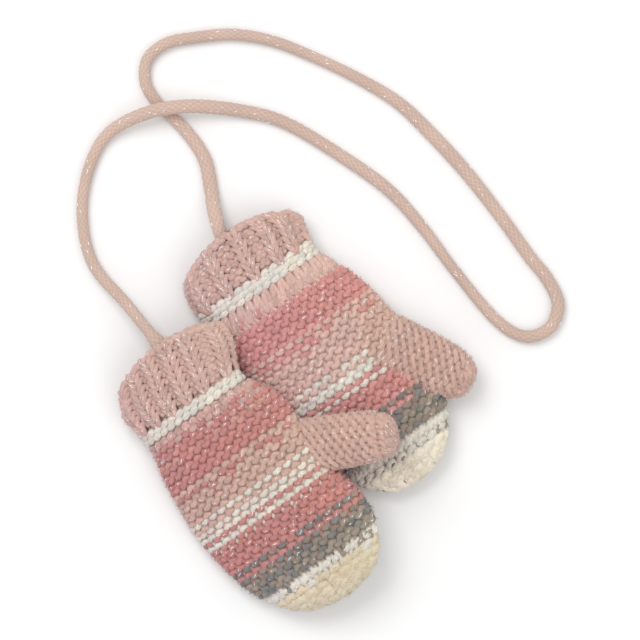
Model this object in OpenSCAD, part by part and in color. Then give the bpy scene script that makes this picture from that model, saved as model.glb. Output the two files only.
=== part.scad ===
// A pair of small child's knitted mittens lying flat, joined by a knitted neck cord.
// The front mitten leans on the edge of the back one. +X is right, +Y is up the table, +Z is up.
// Origin: on the table, under the middle of the two mittens.

/* [Mittens] */
// Length of a mitten from its cuff mouth to its fingertip
mitten_l = 140; // [125:1:150]
// Widest width of the hand
hand_w = 70; // [64:1:72]
// Thickness of a mitten lying flat, at its middle
mitten_t = 20; // [19:0.5:21]
// Length of the ribbed cuff
cuff_l = 31; // [28:1:34]
// Length of the cream fingertip
tip_l = 14; // [12:1:18]
// Angle at which the front mitten leans on the back one
lean = 17; // [16.5:0.5:18]

/* [Thumbs] */
// Thickness of a thumb
thumb_t = 17; // [16:0.5:18]
// Length of the front thumb from its root hinge
front_thumb_l = 41; // [37:1:43]
// Length of the back thumb from its root hinge
back_thumb_l = 47; // [42:1:48]
// Angle between the front thumb and its mitten
front_thumb_a = 63; // [59:1:65]
// Angle between the back thumb and its mitten
back_thumb_a = 31; // [29:1:34]
// Furthest swing of a thumb away from the fingers
thumb_swing = 20; // [10:1:25]

/* [Fabric] */
// Thickness of the knitted fabric
knit_t = 3; // [2.6:0.1:3.2]
// Thickness of the fleece lining
lining_t = 1.3; // [1:0.1:1.5]
// Air between two soft layers
layer_gap = 0.35; // [0.2:0.05:0.4]
// Running gap round a thumb's root
root_gap = 0.5; // [0.4:0.1:0.8]

/* [Cord] */
// Diameter of the knitted neck cord
cord_d = 5.6; // [5:0.2:6]

/* [Hidden] */

pink = "#d3aba0";
rose = "#c98a88";
cream = "#dccfb8";
fleece = "#efe9e0";
thread = "#c9a596";

// Every plan below is drawn for a mitten of this length and width
plan_l = 140;
plan_w = 70;
kl = mitten_l / plan_l;
kw = hand_w / plan_w;

// Rows of [distance from the mouth, middle of the width, half the width, half the thickness]
front_plan = [
    [0, -0.5, 29.5, 7.5], [8, -1, 30.8, 9], [18, -3.3, 31.4, 9.4], [32, -4.9, 27.7, 8.8],
    [41, -2.7, 30.8, 9.8], [50, -1.7, 34.1, 10.3], [65, -2.6, 35.5, 10.5], [85, -3.3, 35.8, 10.5],
    [107, 0.4, 36.6, 10], [140, 3.6, 38, 9]
];
back_plan = [
    [0, -8, 27.5, 7.5], [9, -7.8, 31.5, 9], [22, -9.4, 31, 9.4], [32, -8.2, 30.2, 8.8],
    [45, -5, 33, 9.8], [60, -3, 35, 10.5], [80, -1, 35, 10.3], [100, 0, 33.3, 9.4],
    [115, 1, 32.8, 9], [140, 0, 32, 8.6]
];

// Rows of [distance from the hinge, middle, half the width, half the thickness] of a thumb
front_thumb_plan = [
    [-20, 0, 13, 8.4], [0, 0, 12.6, 8.5], [14, 0, 12.8, 8.5], [28, 0.4, 12.2, 8.5], [48, 0.6, 11.8, 8]
];
back_thumb_plan = [
    [-20, 0, 14.4, 8.4], [0, 0, 14, 8.5], [16, -0.4, 13.8, 8.5], [32, -0.8, 13, 8.5], [56, -0.8, 12.6, 8]
];

// Where the mouths lie on the table, and the way that each mitten points
front_mouth = [-61.3, 29.7];
front_turn = -54.5;
back_mouth = [-25, 84.2];
back_turn = -55.2;

// Hinges of the thumbs in their mittens: along, across and above the middle plane
front_hinge = [76 * kl, 29.8 * kw, 0];
back_hinge = [78 * kl, 21 * kw, 1.2];
front_root_r = 13;
back_root_r = 14.4;

// The ends start to round off here, with this roundness
hand_round = 0.71;
hand_power = 2.2;
thumb_round = 0.6;
thumb_power = 2.5;

// The mouth's corners draw back by this much, fading out along the cuff
mouth_bow = 8;
mouth_fade = 26;

// Boxiness of a cross-section above and below its middle
side_power = 0.9;
top_power = 0.8;
under_power = 0.6;

// Sewing thread, and the gap round it in the cord
thread_d = 1;
thread_gap = 0.1;

// Points round a ring, and rings along a piece
ring_n = 32;
cord_sides = 10;
cord_rings = 79;

// The plans are drawn for this thickness
plan_t = 21;
thick = mitten_t / plan_t;

// Height of a mitten's middle plane at its mouth when it leans by turn and its lowest point is on the table
function resting_z(plan, turn) =
    -min([for (s = [30 : 6 : 120]) for (p = mitten_ring(plan, s, 0)) p[1] * sin(turn) + p[2] * cos(turn)]);

back_z = resting_z(back_plan, 0);
front_z = resting_z(front_plan, lean);

// Depth of the lining inside the fabric
lining_in = knit_t + layer_gap;
lining_hem = 6;

// ---- Curves -------------------------------------------------------------------------------------

function row_of(t, s, i = 0) = (i >= len(t) - 2 || s < t[i + 1][0]) ? i : row_of(t, s, i + 1);

function slope(t, k, i) =
    let (a = max(i - 1, 0), b = min(i + 1, len(t) - 1))
    (t[b][k] - t[a][k]) / (t[b][0] - t[a][0]);

// Smooth value of column k at distance s
function along(t, k, s) =
    let (i = row_of(t, s), h = t[i + 1][0] - t[i][0], u = (s - t[i][0]) / h)
    t[i][k] * (2 * u ^ 3 - 3 * u ^ 2 + 1)
    + slope(t, k, i) * h * (u ^ 3 - 2 * u ^ 2 + u)
    + t[i + 1][k] * (3 * u ^ 2 - 2 * u ^ 3)
    + slope(t, k, i + 1) * h * (u ^ 3 - u ^ 2);

function signed_power(x, p) = sign(x) * abs(x) ^ p;

// How far an end has closed at x of the way along its rounding
function closing(x, p) = x <= 0 ? 1 : x >= 1 ? 0 : (1 - x ^ p) ^ (1 / p);

// ---- Rings: a cross-section at distance s, inset by d -------------------------------------------

function mouth_shift(s, v) =
    s >= mouth_fade ? 0 : mouth_bow * (abs(v) / 30) ^ 2.2 * (1 - s / mouth_fade) ^ 2;

function mitten_ring(plan, s, d) =
    let (
        q = s / kl,
        start = hand_round * mitten_l,
        f = closing((s - start) / (mitten_l - d - start), hand_power),
        c = along(plan, 1, q) * kw,
        w = max((along(plan, 2, q) * kw - d) * f, 0.05),
        h = max((along(plan, 3, q) * thick - d) * f ^ 0.8, 0.05)
    )
    [for (i = [0 : ring_n - 1])
        let (
            a = 360 * i / ring_n,
            v = c + w * signed_power(cos(a), side_power),
            z = h * signed_power(sin(a), sin(a) > 0 ? top_power : under_power)
        )
        [s + mouth_shift(s, v - c), v, z]];

function thumb_ring(plan, tip, x, d) =
    let (
        start = thumb_round * tip,
        f = closing((x - start) / (tip - d - start), thumb_power),
        w = max((along(plan, 2, x) - d) * f, 0.05),
        h = max((along(plan, 3, x) * thumb_t / 17 - d) * f ^ 0.8, 0.05)
    )
    [for (i = [0 : ring_n - 1])
        let (a = 360 * i / ring_n)
        [x, along(plan, 1, x) + w * signed_power(cos(a), side_power), h * signed_power(sin(a), top_power)]];

// Distances from a to b, in n steps
function steps(a, b, n) = [for (i = [0 : n]) a + (b - a) * i / n];

// Distances from a to an end at b, closer together as the end rounds off
function end_steps(a, b, n) = [for (i = [0 : n]) a + (b - a) * sin(88 * i / n)];

// Distances along a cup: even to where the end starts to round off, then closer together
function cup_steps(a, b) =
    let (bend = hand_round * mitten_l)
    a >= bend ? end_steps(a, b, 6)
    : concat(steps(a, bend - 5, 18), end_steps(bend, b, 7));

function reversed(l) = [for (i = [len(l) - 1 : -1 : 0]) l[i]];

// ---- Skins --------------------------------------------------------------------------------------

// Skin over a run of rings: joined end to end as a sleeve, or capped at both ends
module skin(rings, sleeve) {
    n = len(rings[0]);
    m = len(rings);
    bands = sleeve ? m : m - 1;
    faces = [for (j = [0 : bands - 1], i = [0 : n - 1], k = [0, 1])
        let (
            a = j * n + i,
            b = j * n + (i + 1) % n,
            c = ((j + 1) % m) * n + i,
            e = ((j + 1) % m) * n + (i + 1) % n
        )
        k == 0 ? [a, c, b] : [b, c, e]];
    caps = sleeve ? [] : [[for (i = [0 : n - 1]) i], [for (i = [n - 1 : -1 : 0]) (m - 1) * n + i]];
    polyhedron(points = [for (r = rings) each r], faces = concat(faces, caps), convexity = 8);
}

// Open sleeve of a mitten between two distances
module mitten_sleeve(plan, from, to, n) {
    outer = [for (s = steps(from, to, n)) mitten_ring(plan, s, 0)];
    inner = [for (s = steps(from, to, n)) mitten_ring(plan, s, knit_t)];
    skin(concat(outer, reversed(inner)), true);
}

// Closed end of a mitten: a cup whose rim is at distance from
module mitten_cup(plan, from, d, t) {
    inner = [for (s = cup_steps(from, mitten_l - d - t)) mitten_ring(plan, s, d + t)];
    outer = [for (s = cup_steps(from, mitten_l - d)) mitten_ring(plan, s, d)];
    skin(concat(reversed(outer), inner), false);
}

module thumb_solid(plan, tip, from, d) {
    skin([for (x = end_steps(from, tip - d, 9)) thumb_ring(plan, tip, x, d)], false);
}

// ---- Places -------------------------------------------------------------------------------------

module place_front() {
    translate([front_mouth[0], front_mouth[1], front_z])
        rotate([lean, 0, front_turn])
            children();
}

module place_back() {
    translate([back_mouth[0], back_mouth[1], back_z])
        rotate([0, 0, back_turn])
            children();
}

module at_hinge(hinge, turn) {
    translate(hinge)
        rotate([0, 0, turn])
            children();
}

// ---- Pieces -------------------------------------------------------------------------------------

// Room that a thumb sweeps at its root: a round seat and the strip in front of it
module thumb_room(hinge, turn, r) {
    at_hinge(hinge, turn)
        cylinder(r = r, h = 60, center = true, $fn = 64);
    for (swing = [0, thumb_swing])
        at_hinge(hinge, turn + swing)
            translate([1, -r - 0.2, -30])
                cube([70, 2 * r + 0.4, 60]);
}

module cuff(plan) {
    color(pink)
        mitten_sleeve(plan, 0, cuff_l, 7);
}

module hand(plan, hinge, turn, r) {
    color(rose)
        difference() {
            mitten_sleeve(plan, cuff_l, mitten_l - tip_l, 12);
            thumb_room(hinge, turn, r);
        }
}

module fingertip(plan) {
    color(cream)
        mitten_cup(plan, mitten_l - tip_l, 0, knit_t);
}

module lining(plan, hinge, turn, r) {
    color(fleece)
        difference() {
            mitten_cup(plan, lining_hem, lining_in, lining_t);
            thumb_room(hinge, turn, r);
        }
}

// One layer of a thumb, open at its round root
module thumb_layer(plan, tip, hinge, turn, r, d, t) {
    at_hinge(hinge, turn)
        difference() {
            intersection() {
                thumb_solid(plan, tip, -r - 2, d);
                union() {
                    cylinder(r = r - root_gap, h = 60, center = true, $fn = 64);
                    translate([0, -30, -30])
                        cube([70, 60, 60]);
                }
            }
            thumb_solid(plan, tip, -r - 4, d + t);
        }
}

module thumb(plan, tip, hinge, turn, r) {
    color(pink)
        thumb_layer(plan, tip, hinge, turn, r, 0, knit_t);
}

module thumb_lining(plan, tip, hinge, turn, r) {
    color(fleece)
        thumb_layer(plan, tip, hinge, turn, r, lining_in, lining_t);
}

// Upright thread that holds the cord's end in the mouth, knotted on top of the cord
module cord_stitches(spot) {
    color(thread)
        translate(spot) {
            translate([0, 0, -7])
                cylinder(d = thread_d, h = 7 + cord_d / 2 + 0.8, $fn = 24);
            translate([0, 0, cord_d / 2 + 0.8 + thread_d / 2])
                sphere(d = 2 * thread_d, $fn = 24);
        }
}

// ---- Cord ---------------------------------------------------------------------------------------

rest_z = cord_d / 2;
over_z = cord_d * 1.55;

// Route of the cord, from the back cuff to the front cuff
route = [
    [-31.5, 72.5, back_z], [-34.5, 80.5, back_z - 0.5], [-37, 89.5, 6.5], [-38.5, 99.5, rest_z],
    [-41, 112, rest_z], [-46.5, 121.5, rest_z], [-54.5, 130.5, rest_z], [-62.5, 138, rest_z],
    [-68, 147.5, rest_z], [-67, 158, rest_z], [-58.5, 165, rest_z], [-46.5, 167.5, rest_z],
    [-28.5, 169, rest_z], [-10.5, 166, rest_z], [7.5, 159, rest_z], [25.5, 150.5, rest_z],
    [45, 139, rest_z], [60, 125, rest_z], [76.5, 107, rest_z], [92.5, 86.5, rest_z],
    [105, 69, rest_z], [113, 59, rest_z], [118, 47.5, rest_z], [114, 36.5, rest_z],
    [102.5, 33, rest_z], [89.5, 41, rest_z], [71.5, 62.5, rest_z], [56.5, 82.5, rest_z],
    [41.5, 99, rest_z], [21.5, 113.5, rest_z], [-4.5, 129, rest_z],
    [-24.5, 134.5, rest_z + 0.5], [-48.5, 136.5, over_z - 0.2], [-68.5, 133, over_z - 0.2],
    [-85, 124, rest_z + 0.5], [-93.5, 108.5, rest_z], [-96.5, 87.5, rest_z], [-91.5, 65.5, 3.6],
    [-75.5, 46.5, 10], [-58, 25, front_z]
];

// Where the cord's ends are sewn
back_stitch = [-32.4, 74.3, back_z];
front_stitch = [-60.3, 27.9, front_z];

// Point of the route at u, where whole numbers are the points of the list
function route_at(u) =
    let (
        i = min(floor(u), len(route) - 2),
        f = u - i,
        a = route[max(i - 1, 0)],
        b = route[i],
        c = route[i + 1],
        e = route[min(i + 2, len(route) - 1)]
    )
    0.5 * (2 * b + (c - a) * f + (2 * a - 5 * b + 4 * c - e) * f ^ 2 + (3 * b - a - 3 * c + e) * f ^ 3);

function cord_ring(u) =
    let (
        last = len(route) - 1,
        ahead = route_at(min(u + 0.02, last)) - route_at(max(u - 0.02, 0)),
        t = ahead / norm(ahead),
        side = cross([0, 0, 1], t) / norm(cross([0, 0, 1], t)),
        up = cross(t, side)
    )
    [for (i = [0 : cord_sides - 1])
        let (a = 360 * i / cord_sides)
        route_at(u) + cord_d / 2 * (cos(a) * side + sin(a) * up)];

module neck_cord() {
    color(pink)
        difference() {
            skin([for (i = [0 : cord_rings]) cord_ring((len(route) - 1) * i / cord_rings)], false);
            for (spot = [back_stitch, front_stitch])
                translate(spot)
                    cylinder(d = thread_d + 2 * thread_gap, h = 3 * cord_d, center = true, $fn = 24);
        }
}

// ---- Assembly -----------------------------------------------------------------------------------

module back_hand() {
    place_back()
        hand(back_plan, back_hinge, back_thumb_a, back_root_r);
}

module back_thumb() {
    place_back()
        thumb(back_thumb_plan, back_thumb_l, back_hinge, back_thumb_a, back_root_r);
}

module back_lining() {
    place_back()
        lining(back_plan, back_hinge, back_thumb_a, back_root_r);
}

module back_thumb_lining() {
    place_back()
        thumb_lining(back_thumb_plan, back_thumb_l, back_hinge, back_thumb_a, back_root_r);
}

module front_hand() {
    place_front()
        hand(front_plan, front_hinge, front_thumb_a, front_root_r);
}

module front_thumb() {
    place_front()
        thumb(front_thumb_plan, front_thumb_l, front_hinge, front_thumb_a, front_root_r);
}

module front_lining() {
    place_front()
        lining(front_plan, front_hinge, front_thumb_a, front_root_r);
}

module front_thumb_lining() {
    place_front()
        thumb_lining(front_thumb_plan, front_thumb_l, front_hinge, front_thumb_a, front_root_r);
}

place_back() cuff(back_plan);  // back_cuff
back_hand();
place_back() fingertip(back_plan);  // back_fingertip
back_thumb();
back_lining();
back_thumb_lining();
cord_stitches(back_stitch);  // back_cord_stitches
place_front() cuff(front_plan);  // front_cuff
front_hand();
place_front() fingertip(front_plan);  // front_fingertip
front_thumb();
front_lining();
front_thumb_lining();
cord_stitches(front_stitch);  // front_cord_stitches
neck_cord();
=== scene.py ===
"""Small child's knitted mittens on a neck cord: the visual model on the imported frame.

Lengths are in millimetres in this file, and become metres when a mesh is made.
Every knitted piece is real yarn: each course is one closed loop of yarn, swept along the stitches.
"""

import math
from collections import namedtuple

import bpy
import numpy as np
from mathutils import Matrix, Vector


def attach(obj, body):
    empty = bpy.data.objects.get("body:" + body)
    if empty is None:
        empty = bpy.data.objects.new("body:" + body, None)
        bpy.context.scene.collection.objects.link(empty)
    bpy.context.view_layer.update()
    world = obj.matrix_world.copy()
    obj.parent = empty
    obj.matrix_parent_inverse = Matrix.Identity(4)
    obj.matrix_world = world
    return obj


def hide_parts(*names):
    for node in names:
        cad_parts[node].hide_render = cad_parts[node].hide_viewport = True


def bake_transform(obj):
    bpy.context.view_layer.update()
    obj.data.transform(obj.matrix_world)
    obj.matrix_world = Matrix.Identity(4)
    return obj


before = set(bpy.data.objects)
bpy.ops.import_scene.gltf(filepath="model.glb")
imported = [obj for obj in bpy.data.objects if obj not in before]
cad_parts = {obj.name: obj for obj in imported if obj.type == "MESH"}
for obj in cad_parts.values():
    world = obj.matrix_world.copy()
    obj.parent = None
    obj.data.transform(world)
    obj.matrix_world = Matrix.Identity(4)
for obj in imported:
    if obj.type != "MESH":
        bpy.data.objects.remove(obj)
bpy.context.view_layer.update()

MM = 0.001
TAU = 2 * math.pi
SEED = 11
rng = np.random.default_rng(SEED)

# ---- Plans: rows of [distance, middle, half width, half thickness] -------------------------------

MIDDLE, HALF_WIDTH, HALF_THICKNESS = 1, 2, 3
MITTEN_L = 140.0
# A hand rounds off from this distance on, a thumb from this share of its length
ROUND_FROM = 99.4
THUMB_ROUND_FROM = 0.6
# The plans give the thickness of a 21 mm mitten, and this one is 20 mm thick
THICK = 20.0 / 21.0
# The mouth draws back at its corners, and this fades out along the cuff
MOUTH_BOW = 8.0
MOUTH_FADE = 26.0
MOUTH_HALF_WIDTH = 30.0
# How far along the hand the palm's edge is boxier, beside the thumb
PALM_REACH = 15.0
FRONT_PLAN = [
    [0, -0.5, 29.5, 7.5], [8, -1, 30.8, 9], [18, -3.3, 31.4, 9.4], [32, -4.9, 27.7, 8.8],
    [41, -2.7, 30.8, 9.8], [50, -1.7, 34.1, 10.3], [65, -2.6, 35.5, 10.5], [85, -3.3, 35.8, 10.5],
    [107, 0.4, 36.6, 10], [140, 3.6, 38, 9],
]
BACK_PLAN = [
    [0, -8, 27.5, 7.5], [9, -7.8, 31.5, 9], [22, -9.4, 31, 9.4], [32, -8.2, 30.2, 8.8],
    [45, -5, 33, 9.8], [60, -3, 35, 10.5], [80, -1, 35, 10.3], [100, 0, 33.3, 9.4],
    [115, 1, 32.8, 9], [140, 0, 32, 8.6],
]
FRONT_THUMB_PLAN = [
    [-20, 0, 13, 8.4], [0, 0, 12.6, 8.5], [14, 0, 12.8, 8.5], [28, 0.4, 12.2, 8.5],
    [48, 0.6, 11.8, 8],
]
BACK_THUMB_PLAN = [
    [-20, 0, 14.4, 8.4], [0, 0, 14, 8.5], [16, -0.4, 13.8, 8.5], [32, -0.8, 13, 8.5],
    [56, -0.8, 12.6, 8],
]
FRONT_THUMB_L = 41.0
BACK_THUMB_L = 47.0

# Places, as in the CAD part: mittens as (mouth, lean, turn) and hinges in the mitten's own frame
LEAN = 17.0
BACK_Z = 10.032
FRONT_Z = 16.584
FRONT_PLACE = ((-61.3, 29.7, FRONT_Z), LEAN, -54.5)
BACK_PLACE = ((-25.0, 84.2, BACK_Z), 0.0, -55.2)
FRONT_HINGE = (76.0, 29.8, 0.0)
BACK_HINGE = (78.0, 21.0, 1.2)
FRONT_THUMB_TURN = 63.0
BACK_THUMB_TURN = 31.0
BACK_STITCH = (-32.4, 74.3, BACK_Z)
FRONT_STITCH = (-60.3, 27.9, FRONT_Z)

# ---- Colours (linear light) ----------------------------------------------------------------------


def srgb(code):
    """Linear colour of a six-digit code."""
    parts = np.array([int(code[i:i + 2], 16) for i in (0, 2, 4)]) / 255.0
    return np.where(parts <= 0.04045, parts / 12.92, ((parts + 0.055) / 1.055) ** 2.4)


PINK = srgb("cfaca1")
ROSE = srgb("c68781")
DUSK = srgb("cb958b")
BEIGE = srgb("ceab9d")
LILAC = srgb("cba49c")
# Painted light: lighter copies of ROSE and BEIGE that only the back mitten uses, to brighten it
BACK_LIT_ROSE = srgb("d1928d")
BACK_LIT_BEIGE = srgb("d5b2a7")
WHITE = srgb("dfd8cd")
GREY = srgb("9a8c7f")
SLATE = srgb("807e7c")
CREAM = srgb("d9cab0")
# Painted light: a lighter copy of CREAM for the back mitten's fingertip
BACK_LIT_CREAM = srgb("ebdfcb")
CORD_PINK = srgb("c8ad9f")
FLEECE = srgb("ece4d8")

# Stripes of a hand: [from this distance on, colour, how mottled, how far the edge strays]
FRONT_STRIPES = [
    [0, WHITE, 0.06, 0.1], [35.4, LILAC, 0.35, 0.1], [40.5, ROSE, 0.14, 1.5],
    [45.6, DUSK, 0.14, 1.5], [48, ROSE, 0.14, 0.6], [59.6, BEIGE, 0.2, 0.3],
    [61.8, ROSE, 0.14, 0.3], [64.2, BEIGE, 0.14, 1.5], [76.3, WHITE, 0.1, 0.2],
    [78.6, BEIGE, 0.14, 0.2], [81, WHITE, 0.08, 0.2], [85.7, ROSE, 0.14, 0.2],
    [88, WHITE, 0.08, 0.2], [90.4, ROSE, 0.12, 0.2], [104.6, GREY, 0.35, 0.6],
    [107, ROSE, 0.2, 0.2], [109.3, GREY, 0.45, 0.8], [123.2, WHITE, 0.12, 0.8],
    [127, CREAM, 0.05, 0.2],
]
# The back hand uses the lighter copies of rose and beige: painted light
BACK_STRIPES = [
    [0, WHITE, 0.06, 0.0], [30.45, BACK_LIT_BEIGE, 0.16, 0.0], [40.6, BACK_LIT_ROSE, 0.14, 0.6],
    [57, BACK_LIT_BEIGE, 0.16, 0.3], [59.6, BACK_LIT_ROSE, 0.14, 0.6], [61.8, BACK_LIT_BEIGE, 0.14, 1.5],
    [79.5, WHITE, 0.1, 0.2], [81.2, BACK_LIT_BEIGE, 0.14, 0.2], [83.3, WHITE, 0.08, 0.2],
    [87.9, BACK_LIT_ROSE, 0.14, 0.2], [90.3, WHITE, 0.08, 0.2], [92.5, BACK_LIT_ROSE, 0.12, 0.3],
    [104.3, GREY, 0.35, 0.6], [106.7, BACK_LIT_ROSE, 0.2, 0.2], [109, GREY, 0.45, 0.8],
    [122.2, WHITE, 0.12, 0.6], [126.2, CREAM, 0.05, 0.2],
]
FRONT_TIP_STRIPES = [[0, GREY, 0.3, 0.9], [122.5, WHITE, 0.1, 0.9], [127, CREAM, 0.06, 0.6]]
# The back fingertip uses the lighter copy of cream: painted light
BACK_TIP_STRIPES = [[0, WHITE, 0.1, 0.0], [127.6, GREY, 0.2, 0.0], [128.6, BACK_LIT_CREAM, 0.06, 0.0]]


def column(stripes, k):
    """Column k of a list of stripes."""
    return np.array([row[k] for row in stripes])


def stripe_at(stripes, s):
    """Colours and mottling at distances s."""
    which = np.searchsorted(column(stripes, 0), s, side="right") - 1
    which = np.clip(which, 0, len(stripes) - 1)
    return column(stripes, 1)[which], column(stripes, 2)[which]


def stripes_strayed(stripes, s, drift, chance):
    """As stripe_at, but the edges of some stripes stray: drift and chance are of size 1."""
    nearest = np.argmin(np.abs(s[:, None] - column(stripes, 0)[None]), axis=1)
    strays = column(stripes, 3)[nearest]
    return stripe_at(stripes, s + strays * (drift + 1.3 * chance))


# ---- Surfaces ------------------------------------------------------------------------------------


def along(plan, k, s):
    """Smooth value of column k of a plan at distances s."""
    rows = np.array(plan, float)
    s = np.asarray(s, float)
    i = np.clip(np.searchsorted(rows[:, 0], s, side="right") - 1, 0, len(rows) - 2)
    below = np.maximum(np.arange(len(rows)) - 1, 0)
    above = np.minimum(np.arange(len(rows)) + 1, len(rows) - 1)
    slope = (rows[above, k] - rows[below, k]) / (rows[above, 0] - rows[below, 0])
    h = rows[i + 1, 0] - rows[i, 0]
    u = (s - rows[i, 0]) / h
    return (
        rows[i, k] * (2 * u**3 - 3 * u**2 + 1)
        + slope[i] * h * (u**3 - 2 * u**2 + u)
        + rows[i + 1, k] * (3 * u**2 - 2 * u**3)
        + slope[i + 1] * h * (u**3 - u**2)
    )


def closing(x, power):
    """Share of the width that is left at x of the way along a rounded end."""
    x = np.clip(x, 0, 1)
    return (1 - x**power) ** (1 / power)


def signed_power(x, p):
    """The power p of the size of x, with the sign of x."""
    return np.sign(x) * np.abs(x) ** p


def mitten_rings(plan, root, s, angle):
    """Points of the outer surface, for columns of distances s and rows of angles.

    The thumb's side is boxier at distance root, where the palm runs into the thumb.
    """
    f = closing((s - ROUND_FROM) / (MITTEN_L - ROUND_FROM), 2.2)
    mid = along(plan, MIDDLE, s)
    w = along(plan, HALF_WIDTH, s) * f
    h = along(plan, HALF_THICKNESS, s) * THICK * f**0.8
    top = np.sin(angle) > 0
    boxy = np.exp(-(((s - root) / PALM_REACH) ** 2)) * (np.cos(angle) > 0)
    v = mid + w * signed_power(np.cos(angle), 0.9)
    z = h * signed_power(np.sin(angle), np.where(top, 0.8 - 0.45 * boxy, 0.6 - 0.25 * boxy))
    fade = 1 - np.minimum(s, MOUTH_FADE) / MOUTH_FADE
    bow = MOUTH_BOW * (np.abs(v - mid) / MOUTH_HALF_WIDTH) ** 2.2 * fade**2
    return np.stack([s + bow + 0 * v, v, z], axis=-1)


def thumb_rings(plan, tip, s, angle):
    """As mitten_rings, for a thumb of length tip, which is thinner where it leaves the hand."""
    start = THUMB_ROUND_FROM * tip
    f = closing((s - start) / (tip - start), 2.5)
    w = along(plan, HALF_WIDTH, s) * f
    rise = np.clip((s + 8) / 16, 0, 1)
    h = along(plan, HALF_THICKNESS, s) * f**0.8 * (0.55 + 0.45 * rise * rise * (3 - 2 * rise))
    v = along(plan, MIDDLE, s) + w * signed_power(np.cos(angle), 0.9)
    z = h * signed_power(np.sin(angle), 0.8)
    return np.stack([s + 0 * v, v, z], axis=-1)


# Samples of a quarter of a ring, before it is divided evenly
QUARTER = 360


def grid_of(plain, start, length, rounded):
    """Distances for a skin: the plain ones, then some that crowd towards the closed end."""
    turn = np.linspace(0, 1.565, rounded)
    return np.concatenate([plain, start + length * np.sin(turn)])


def mitten_grid():
    return grid_of(np.arange(0, 99, 0.75), ROUND_FROM, MITTEN_L - ROUND_FROM, 90)


def thumb_grid(tip):
    start = THUMB_ROUND_FROM * tip
    return grid_of(np.arange(-20, start, 0.6), start, tip - start, 60)


class Skin:
    """A closed sleeve sampled on a grid: distance s by share of the girth g, each quarter even."""

    def __init__(self, rings, s_values, sides=240):
        fine = np.linspace(0, TAU, 4 * QUARTER + 1)
        even = np.arange(sides) / sides
        self.s = np.asarray(s_values, float)
        self.sides = sides
        points = rings(self.s[:, None], fine[None, :])
        self.p = np.zeros((len(self.s), sides, 3))
        for row in range(len(self.s)):
            ring = points[row]
            step = np.linalg.norm(np.diff(ring, axis=0), axis=1)
            reach = np.concatenate([[0], np.cumsum(step)])
            share = np.zeros_like(reach)
            for q in range(4):
                a, b = q * QUARTER, (q + 1) * QUARTER
                share[a:b + 1] = q + (reach[a:b + 1] - reach[a]) / (reach[b] - reach[a])
            for k in range(3):
                self.p[row, :, k] = np.interp(even * 4, share, ring[:, k])
        ds = np.gradient(self.p, self.s, axis=0)
        dg = np.roll(self.p, -1, axis=1) - np.roll(self.p, 1, axis=1)
        n = np.cross(dg, ds)
        self.n = n / np.maximum(np.linalg.norm(n, axis=-1, keepdims=True), 1e-9)
        self.stretch = np.linalg.norm(ds, axis=-1)
        self.girth = np.linalg.norm(dg, axis=-1).sum(axis=1) / 2

    def _mix(self, grid, s, g):
        """Value of a grid between its samples."""
        row = np.interp(s, self.s, np.arange(len(self.s)))
        i = np.clip(row.astype(int), 0, len(self.s) - 2)
        f = row - i
        col = (np.asarray(g) % 1.0) * self.sides
        j = col.astype(int) % self.sides
        e = col - np.floor(col)
        j2 = (j + 1) % self.sides
        if grid.ndim == 3:
            f = f[..., None]
            e = e[..., None]
        low = grid[i, j] * (1 - e) + grid[i, j2] * e
        high = grid[i + 1, j] * (1 - e) + grid[i + 1, j2] * e
        return low * (1 - f) + high * f

    def at(self, s, g, lift):
        """Points that lie lift above the skin."""
        n = self.normal(s, g)
        return self._mix(self.p, s, g) + n * np.asarray(lift)[..., None]

    def normal(self, s, g):
        """Outward directions of size 1."""
        n = self._mix(self.n, s, g)
        return n / np.maximum(np.linalg.norm(n, axis=-1, keepdims=True), 1e-9)

    def stretched(self, s, g):
        """Length of skin per distance s."""
        return self._mix(self.stretch, s, g)

    def girth_at(self, s):
        """Length of the ring at s."""
        return float(np.interp(s, self.s, self.girth))

    def share_at(self, s, v):
        """Share of the girth where the top of the skin at s has the sideways place v."""
        g = np.linspace(0.01, 0.49, 200)
        across = self.at(np.full(len(g), float(s)), g, np.zeros(len(g)))[:, 1]
        return float(np.interp(-v, -across, g))


# ---- Places --------------------------------------------------------------------------------------


def turned(points, degrees, axis):
    """Points turned about the x axis (0) or the z axis (2)."""
    c, s = math.cos(math.radians(degrees)), math.sin(math.radians(degrees))
    if axis == 0:
        m = np.array([[1, 0, 0], [0, c, -s], [0, s, c]])
    else:
        m = np.array([[c, -s, 0], [s, c, 0], [0, 0, 1]])
    return points @ m.T


def placed(place):
    """A function that takes points of a mitten's own frame to the shared frame."""
    spot, lean, turn = place
    return lambda p: turned(turned(p, lean, 0), turn, 2) + np.array(spot)


def placed_thumb(place, hinge, turn):
    """The same for points of a thumb's own frame."""
    outer = placed(place)
    return lambda p: outer(turned(p, turn, 2) + np.array(hinge))


# ---- Meshes --------------------------------------------------------------------------------------


# Rows of the bake map: the gap at each side of a row, and the rows that a backing sheet takes
BAKE_GAP = 0.04
BACKING_ROWS = 3.0
# Spacing of the rings of a sheet of cloth
SHEET_STEP = 1.5
# Radius of flecks and of loose fibres, which thin out, and the ranges of their other sizes
FLECK_R = 0.19
FLECK_HALF_LENGTH = (0.35, 0.9)
FLECK_BEND = (-0.5, 0.5)
HAIR_R = np.array([0.09, 0.09, 0.07, 0.03])
HAIR_LENGTH = (1.2, 3.0)
HAIR_RISE = (0.2, 0.65)
HAIR_BEND = (-0.6, 0.6)


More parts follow.
